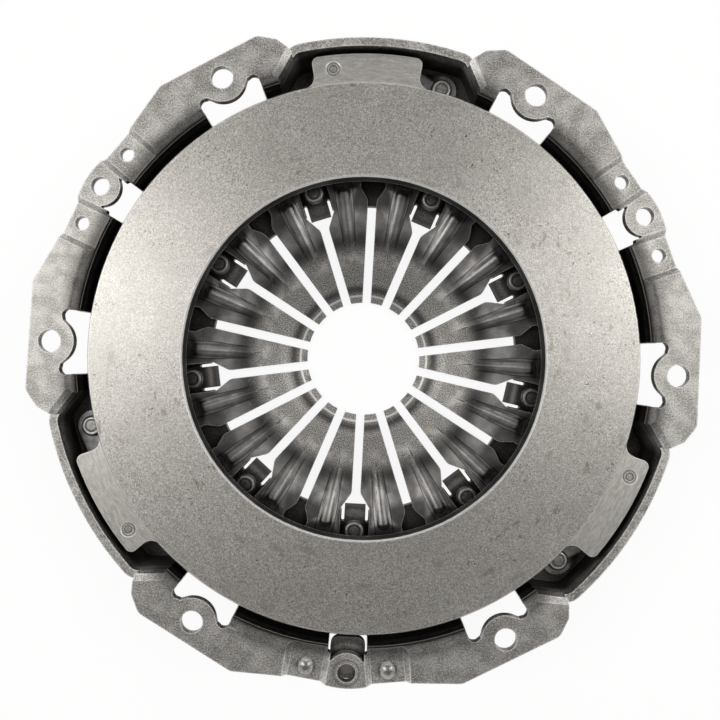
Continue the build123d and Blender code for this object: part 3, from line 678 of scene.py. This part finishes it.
# %% Finish of the rivets and the wire rings
def small_steel_finish(name, dark, light, rough, heads=None, head_radius=0.0):
    """heads is (radius, angle, count) of the circle of rivets, whose ends get a painted highlight ring and
    painted shade in their groove and round their edge.
    """
    f = Finish(name, rough)
    cloud = f.grain(1.4, 4.0, warp=0.4)
    fine = f.grain(0.5, 2.5)
    colour = f.mix(f.between(cloud, 0.3, 0.7), dark, light)
    colour = f.mix(f.between(fine, 0.35, 0.65, 0.35, 0.0), colour, (0.06, 0.057, 0.053))
    height = f.both(cloud, 0.6)
    if heads:
        gap = f.apart(*heads)
        rim = f.band(gap, head_radius, head_radius * 0.2)
        groove = f.band(gap, head_radius * 0.55, head_radius * 0.16)
        head_highlight = f.band(gap, head_radius * 0.74, head_radius * 0.12)
        # Painted shade in the groove and round the edge of each head, and a painted highlight ring between
        # them.
        colour = f.mix(f.both(f.either(rim, groove), 0.75), colour, (0.05, 0.047, 0.044))
        colour = f.mix(f.both(head_highlight, 0.5), colour, (0.85, 0.83, 0.8))
        height = f.math("SUBTRACT", height, f.both(groove, 2.0))
    # Painted highlight mixed with wear along the sharp edges.
    rounded, edge_wear_and_highlight = f.edges(0.25, 0.45)
    colour = f.mix(f.both(edge_wear_and_highlight, 0.5), colour, (0.72, 0.71, 0.69))
    # Painted shade in the corners.
    colour = f.shade_in_corners(colour, (0.22, 0.2, 0.18), 4, 0.2, 0.85)
    dull = f.between(fine, 0.3, 0.7, rough - 0.06, rough + 0.1)
    return f.finish(colour, dull, f.bump(height, 0.03, rounded))


lug_rivet_circle, lug_rivet_angle = 128.7, 99.2
seat_rivet_circle, seat_rivet_angle = 127.6, 77.1
fulcrum_rivet_circle, fulcrum_rivet_angle = 80.2, 30
dull_steel, clean_steel = (0.3, 0.29, 0.275), (0.5, 0.485, 0.465)

dress(small_steel_finish("lug_rivet_steel", (0.42, 0.41, 0.385), (0.66, 0.64, 0.61), 0.38,
                         (lug_rivet_circle, lug_rivet_angle, 3), 2.9), "lug_strap_rivets")
dress(small_steel_finish("strap_rivet_steel", dull_steel, clean_steel, 0.34,
                         (seat_rivet_circle, seat_rivet_angle, 3), 4.7), "cover_strap_rivets")
dress(small_steel_finish("balance_rivet_steel", dull_steel, clean_steel, 0.3), "balance_rivets")
dress(small_steel_finish("fulcrum_rivet_steel", (0.16, 0.15, 0.14), dull_steel, 0.4,
                         (fulcrum_rivet_circle, fulcrum_rivet_angle, 9), 4.8), "fulcrum_rivets")
dress(small_steel_finish("bright_wire", (0.3, 0.295, 0.285), (0.5, 0.49, 0.475), 0.3),
      "front_fulcrum_ring", "rear_fulcrum_ring")

# %% [markdown]
# ## Pieces that bend
# When the clutch is released the ring moves back 5.5 mm. The rim of the diaphragm goes with
# it and so do the ends of the straps, while their other ends stay on the cover. The diaphragm
# bends along eighteen lines at once, one for each finger, so its copy is made finger by
# finger.

# %% Copies that can bend
rows_across = 8
smooth_angle = math.radians(32)


def cut_along(work, point, direction, drop_behind=False):
    """Cut the mesh along a plane, and drop what lies behind it if asked."""
    parts = work.verts[:] + work.edges[:] + work.faces[:]
    bmesh.ops.bisect_plane(work, geom=parts, dist=1e-7, plane_co=point, plane_no=direction,
                           clear_inner=drop_behind)


def bending_copy(node, name, finish, start, end, keep=()):
    """A copy of a CAD piece, cut into rows across its run from start at the cover to end at the ring.

    keep holds (point, direction) pairs: only what lies on the side of each direction stays."""
    mesh = bpy.data.meshes.new(name)
    work = bmesh.new()
    work.from_mesh(nodes[node].data)
    bmesh.ops.remove_doubles(work, verts=work.verts, dist=2e-6)
    for point, direction in keep:
        cut_along(work, point, direction, drop_behind=True)
    run = end - start
    for step in range(rows_across + 1):
        cut_along(work, start + run * step / rows_across, run)
    work.to_mesh(mesh)
    work.free()
    mesh.shade_smooth()
    mesh.set_sharp_from_angle(angle=smooth_angle)
    mesh.materials.clear()
    mesh.materials.append(finish)
    piece = bpy.data.objects.new(name, mesh)
    bpy.context.scene.collection.objects.link(piece)
    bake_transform(piece)
    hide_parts(node)
    return piece


def round_point(radius, angle, height=0.0):
    return Vector((radius * math.cos(math.radians(angle)), radius * math.sin(math.radians(angle)), height))


# %% Spring fingers that bend from the wire rings to the bead
finger_pitch = 360 / finger_count
pivot_radius, bead_radius = 0.086, 0.106
for number in range(finger_count):
    angle = finger_start + finger_pitch * number
    sides = [(Vector(), round_point(1, angle + side * (finger_pitch / 2 - 90))) for side in (-1, 1)]
    finger = bending_copy("diaphragm_spring", f"spring_finger_{number + 1:02d}", diaphragm_steel,
                          round_point(pivot_radius, angle), round_point(bead_radius, angle), sides)
print("fingers", finger_count, "points in the last", len(finger.data.vertices))

# %% Straps that bend from the cover rivet to the lug rivet
strap_sets, leaves_in_set = 3, 4
for sector in range(strap_sets):
    fixed = round_point(seat_rivet_circle / 1000, seat_rivet_angle + 120 * sector)
    moving = round_point(lug_rivet_circle / 1000, lug_rivet_angle + 120 * sector)
    for level in range(leaves_in_set):
        name = f"strap_{sector + 1}_leaf_{level + 1}"
        leaf = bending_copy(name, f"{name}_bending", strap_steel, fixed, moving)
print("leaf points", len(leaf.data.vertices))
